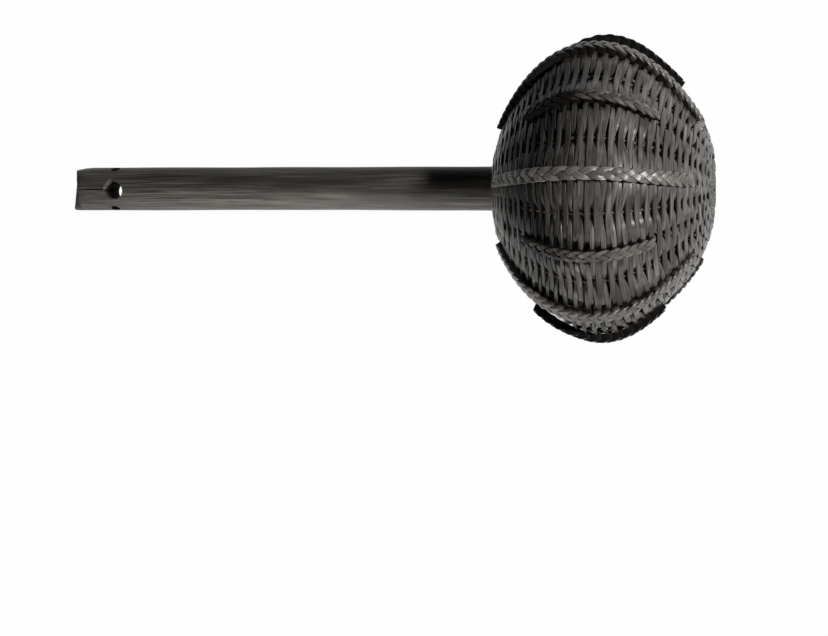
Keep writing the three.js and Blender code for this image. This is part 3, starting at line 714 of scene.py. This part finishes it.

# Split cane rubbed pale by hands, where it stands out: it is smoother than the weave, with fine ribs 0.5 mm
# apart along each strand and small bright glints; its tone carries painted shade in the creases, on the
# hidden roots and on plaits in shade, and painted light on one plait.
plait_cane = bpy.data.materials.new("rubbed_split_cane")
plait_cane.use_nodes = True
shader = plait_cane.node_tree.nodes["Principled BSDF"]
strand_map = add_node(plait_cane, "UVMap", {}, uv_map="strand").outputs["UV"]
tone = add_node(plait_cane, "Attribute", {}, attribute_name="tone").outputs["Fac"]
rib_place = add_node(plait_cane, "Mapping", {"Vector": strand_map, "Scale": (1 / 0.01, 1 / 0.0005, 1)})
ribs = add_node(plait_cane, "TexNoise", {"Vector": rib_place.outputs["Vector"], "Scale": 1.0, "Detail": 4.0,
                                         "Roughness": 0.6}).outputs["Fac"]
rib_share = add_node(plait_cane, "MapRange", {"Value": ribs, "From Min": 0.3, "From Max": 0.68})
float_tone = add_node(plait_cane, "Mix", {0: tone, 6: paint("#67635e"), 7: paint("#8d8882")},
                      data_type="RGBA")
ribbed_tone = add_node(plait_cane, "Mix", {0: rib_share.outputs[0], 6: paint("#524f4b"),
                                           7: float_tone.outputs[2]}, data_type="RGBA")
# Painted shade and painted light ride in the tone; low tones turn the cane almost black.
out_of_plait_shade = add_node(plait_cane, "MapRange", {"Value": tone, "From Min": -0.7, "From Max": 0.1})
plait_shaded = add_node(plait_cane, "Mix", {0: out_of_plait_shade.outputs[0], 6: paint("#1d1b19"),
                                       7: ribbed_tone.outputs[2]}, data_type="RGBA")
plait_cane.node_tree.links.new(plait_shaded.outputs[2], shader.inputs["Base Color"])
shader.inputs["Roughness"].default_value = 0.32
gloss = add_node(plait_cane, "MapRange", {"Value": out_of_plait_shade.outputs[0], "To Min": 0.02, "To Max": 0.45})
plait_cane.node_tree.links.new(gloss.outputs[0], shader.inputs["Specular IOR Level"])
rib_bump = add_node(plait_cane, "Bump", {"Height": ribs, "Strength": 0.4, "Distance": 0.00025})
plait_cane.node_tree.links.new(rib_bump.outputs["Normal"], shader.inputs["Normal"])


def plait_strands(ridge):
    """The three strands of a plait on a keel, from its end near the neck to its end near the crown."""
    kind = STAKE_KINDS[2 * ridge % 4]
    turn = 2 * TURN * ridge / STAKES
    start, end = np.add(KEEL_SPANS[kind], PLAIT_OVERRUNS.get(ridge + 1, (0, 0)))
    angles = np.linspace(start - OVERRUN_MARGIN, end + OVERRUN_MARGIN, 900)
    seat, _ = globe_point(angles, keel_lift(kind, angles) + PLAIT_SEAT)
    walk = np.concatenate([[0], np.cumsum(np.linalg.norm(np.diff(seat, axis=0), axis=1))])
    near, far = np.interp([start, end], angles, walk)
    sway = rng.uniform(0, TURN, 4)
    ends, middle = LOOSE_PLAITS.get(ridge + 1, PLAIT_PERIODS[kind])
    middling = np.sin(math.pi * np.clip((walk - near) / (far - near), 0, 1))
    turned = np.cumsum(TURN / (ends + (middle - ends) * middling) * np.gradient(walk))
    shade_and_light = PLAIT_SHADE_AND_LIGHT.get(ridge + 1, (0, 0))
    strands = []
    for number in range(3):
        low = near + rng.uniform(-RAGGED_OUT, RAGGED_IN)
        high = far + rng.uniform(-RAGGED_IN, RAGGED_OUT)
        along = np.linspace(low, high, int((high - low) / PLAIT_RING_STEP))
        angle = np.interp(along, walk, angles)
        phase = turned[-1] - np.interp(along, walk, turned) + TURN * number / 3
        phase = phase + 0.25 * np.sin(along / 0.021 + sway[0]) + 0.12 * np.sin(along / 0.0063 + sway[1])
        gathered = 0.62 + 0.2 * smooth((far - along) / 0.01 + 0.2) + 0.18 * smooth((along - near) / 0.035)
        swing = PLAIT_SWINGS[kind] * gathered * (1 + 0.06 * np.sin(along / 0.013 + sway[2]))
        aside = swing * np.sin(phase) + 0.0003 * np.sin(along / 0.017 + sway[3])
        lift = keel_lift(kind, angle) + PLAIT_SEAT - PLAIT_RISE * np.sin(2 * phase)
        lift = lift + SPRUNG_ENDS.get(ridge + 1, 0) * smooth(1 - (along - near) / SPRUNG_LENGTH)
        place, out = globe_point(angle, lift)
        line, up = spin(place, turn), spin(out, turn)
        line = line + aside[:, None] * np.array([0, math.cos(turn), -math.sin(turn)])
        width = PLAIT_STRAND_WIDTHS[kind] * (1 - 0.3 * np.sin(phase) ** 4) * (0.7 + 0.3 * gathered)
        rings = strand_rings(line, up, PLAIT_SECTION, width, PLAIT_STRAND_THICKNESS, 0.1 * np.sin(phase))
        half_swings = np.floor(phase / math.pi + 0.5).astype(int)
        tints = rng.uniform(0, 1, PLAIT_TINTS)
        tone = tints[half_swings % PLAIT_TINTS]
        # Painted shade darkens, and painted light lightens, a plait towards its neck or its crown.
        crownward = smooth((along - near) / (far - near) * 2.2 - 0.5)
        tone = tone - (1 + tone) * (shade_and_light[0] + (shade_and_light[1] - shade_and_light[0]) * crownward)
        # Painted shade: a strand's sides darken towards the creases, and its hidden root is black.
        corner_tones = np.repeat(tone[:, None], len(PLAIT_SECTION), axis=1)
        corner_tones[:, [2, 8]] -= 0.9
        corner_tones[:, [3, 7]] -= 0.5
        corner_tones[:, :2] = -1
        strands.append((rings, corner_tones))
    return strands


for ridge in range(STAKES // 2):
    kind = STAKE_KINDS[2 * ridge % 4]
    plait = skin_strands(f"cane_plait_{ridge + 1:02d}", plait_strands(ridge), FLAT_CREASE)
    plait.data.materials.append(plait_cane)
    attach(plait, "rattle")
    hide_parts(f"plait_{ridge + 1:02d}_{kind}")


# Seeds: nine hard round seeds, loose in the globe, that strike the weave when it is shaken. Each has
# a flattened pole with the scar of its stalk, and lies where it has rolled to.
SEEDS = 9
SEED_RADIUS = 0.0043
SCAR_HEIGHT = SEED_RADIUS * 0.86
SCAR_DENT = 0.0007
bpy.ops.object.select_all(action="DESELECT")
bpy.ops.mesh.primitive_uv_sphere_add(segments=24, ring_count=14, radius=SEED_RADIUS, location=(0, 0, 0))
seed_pattern = bpy.context.object
bpy.ops.object.mode_set(mode="EDIT")
bpy.ops.mesh.select_mode(type="VERT")
bpy.ops.mesh.select_all(action="DESELECT")
bpy.ops.object.mode_set(mode="OBJECT")
for vertex in seed_pattern.data.vertices:
    vertex.select = vertex.co.z > SCAR_HEIGHT
bpy.ops.object.mode_set(mode="EDIT")
bpy.ops.transform.translate(value=(0, 0, -SCAR_DENT))
bpy.ops.transform.resize(value=(0.8, 0.8, 0.5), center_override=(0, 0, SCAR_HEIGHT - SCAR_DENT))
bpy.ops.mesh.select_all(action="SELECT")
bpy.ops.transform.resize(value=(1, 0.95, 0.97), center_override=(0, 0, 0))
bpy.ops.object.mode_set(mode="OBJECT")
rounding = seed_pattern.modifiers.new("rounding", "SUBSURF")
rounding.levels = rounding.render_levels = 1
bpy.ops.object.modifier_apply(modifier=rounding.name)

# Seed coat, hard and smooth as horn: dark brown, mottled in spots about 2 mm across, with a low gloss.
seed_coat = bpy.data.materials.new("hard_seed_coat")
seed_coat.use_nodes = True
shader = seed_coat.node_tree.nodes["Principled BSDF"]
spot = add_node(seed_coat, "TexCoord", {}).outputs["Object"]
mottle = add_node(seed_coat, "TexNoise", {"Vector": spot, "Scale": 1 / 0.002, "Detail": 3.0}).outputs["Fac"]
mottle_share = add_node(seed_coat, "MapRange", {"Value": mottle, "From Min": 0.42, "From Max": 0.6})
coat_tone = add_node(seed_coat, "Mix", {0: mottle_share.outputs[0], 6: paint("#2c2420"), 7: paint("#5a4b3f")},
                     data_type="RGBA")
seed_coat.node_tree.links.new(coat_tone.outputs[2], shader.inputs["Base Color"])
shader.inputs["Roughness"].default_value = 0.32

for number in range(1, SEEDS + 1):
    node = f"seed_{number:02d}"
    low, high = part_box(node)
    seed = seed_pattern.copy()
    seed.data = seed_pattern.data.copy()
    seed.name = f"loose_seed_{number:02d}"
    bpy.context.scene.collection.objects.link(seed)
    tumbled = Matrix.Rotation(2.4 * number, 4, "Z") @ Matrix.Rotation(1.1 * number, 4, "X")
    seed.data.transform(Matrix.Translation((low + high) / 2) @ tumbled)
    seed.data.shade_smooth()
    seed.data.materials.append(seed_coat)
    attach(seed, node)
    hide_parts(node)
bpy.data.objects.remove(seed_pattern)


# Table: a wide white sheet under the rattle, which lies loose on it. To the eye it is white, but for the
# shade right under the head, which keeps the gaps of the weave dark.
SHADE_MIDDLE = (0.134, 0.0077)
SHADE_REACH = (0.066, 0.092)
bpy.ops.object.select_all(action="DESELECT")
bpy.ops.mesh.primitive_plane_add(size=6, location=(0, 0, -0.0002))
table = bpy.context.object
table.name = "table"
sheet = bpy.data.materials.new("white_sheet")
sheet.use_nodes = True
shader = sheet.node_tree.nodes["Principled BSDF"]
shader.inputs["Base Color"].default_value = paint("#606060")
shader.inputs["Roughness"].default_value = 0.9
path = add_node(sheet, "LightPath", {})
seen = add_node(sheet, "Math", {0: path.outputs["Is Camera Ray"], 1: path.outputs["Is Glossy Ray"]},
                operation="MAXIMUM")
seen = add_node(sheet, "Math", {0: seen.outputs[0], 1: path.outputs["Is Transmission Ray"]},
                operation="MAXIMUM")
spot = add_node(sheet, "TexCoord", {}).outputs["Object"]
shade_place = (-SHADE_MIDDLE[0] / SHADE_REACH[0], -SHADE_MIDDLE[1] / SHADE_REACH[1], 0)
from_middle = add_node(sheet, "Mapping", {"Vector": spot, "Location": shade_place,
                                          "Scale": (1 / SHADE_REACH[0], 1 / SHADE_REACH[1], 0)})
reach = add_node(sheet, "VectorMath", {0: from_middle.outputs["Vector"]}, operation="LENGTH")
clear = add_node(sheet, "MapRange", {"Value": reach.outputs["Value"], "From Min": 0.92, "To Max": 0.99})
whiteness = add_node(sheet, "Math", {0: seen.outputs[0], 1: clear.outputs[0]}, operation="MULTIPLY")
glow = add_node(sheet, "Emission", {"Color": (1, 1, 1, 1), "Strength": 1.0})
mixed = add_node(sheet, "MixShader", {0: whiteness.outputs[0], 1: shader.outputs[0], 2: glow.outputs[0]})
sheet.node_tree.links.new(mixed.outputs[0], sheet.node_tree.nodes["Material Output"].inputs["Surface"])
table.data.materials.append(sheet)

# Light: one lamp from beyond the crown, a weaker one from the near side, a low narrow beam on the stick,
# and a dim room.
ROOM_LIGHT = 0.03
world = bpy.data.worlds.new("dim_room")
world.use_nodes = True
bpy.context.scene.world = world
room = world.node_tree.nodes["Background"]
room.inputs["Color"].default_value = (1, 1, 1, 1)
path = add_node(world, "LightPath", {})
brightness = add_node(world, "MapRange", {"Value": path.outputs["Is Camera Ray"], "To Min": ROOM_LIGHT,
                                          "To Max": 1.0})
world.node_tree.links.new(brightness.outputs[0], room.inputs["Strength"])


def hang_lamp(name, aim, azimuth, elevation, distance, size, spread, power):
    """A square lamp that looks at a spot. Its azimuth counts from +X, and its beam's spread is in degrees."""
    a, e = math.radians(azimuth), math.radians(elevation)
    towards = Vector((math.cos(a) * math.cos(e), math.sin(a) * math.cos(e), math.sin(e)))
    lamp = bpy.data.lights.new(name, "AREA")
    lamp.size = size
    lamp.spread = math.radians(spread)
    lamp.energy = power
    hung = bpy.data.objects.new(name, lamp)
    hung.location = Vector(aim) + towards * distance
    hung.rotation_euler = towards.to_track_quat("Z", "Y").to_euler()
    bpy.context.scene.collection.objects.link(hung)


hang_lamp("lamp_beyond_crown", (0.05, 0, 0.08), 4, 53, 1.6, 0.1, 180, 24)
hang_lamp("lamp_near_side", (0.05, 0, 0.08), -120, 14, 1.6, 0.1, 180, 5)
hang_lamp("lamp_along_stick", (-0.06, 0, 0.04), -92, 3, 1.4, 0.08, 18, 0.25)

# Camera: almost straight above, 1.14 m over the table, tipped and turned by a degree, for a picture
# 828 pixels wide.
PICTURE_WIDTH = 828
FOCAL_PIXELS = 1839.7
camera = bpy.data.cameras.new("camera_above")
camera.sensor_width = 36
camera.lens = FOCAL_PIXELS / PICTURE_WIDTH * camera.sensor_width
stand = bpy.data.objects.new("camera_above", camera)
stand.location = (0.0181, -0.09551, 1.1416)
stand.rotation_euler = (0.0180, 0, 0.0205)
bpy.context.scene.collection.objects.link(stand)
bpy.context.scene.camera = stand
bpy.context.scene.view_settings.view_transform = "Standard"
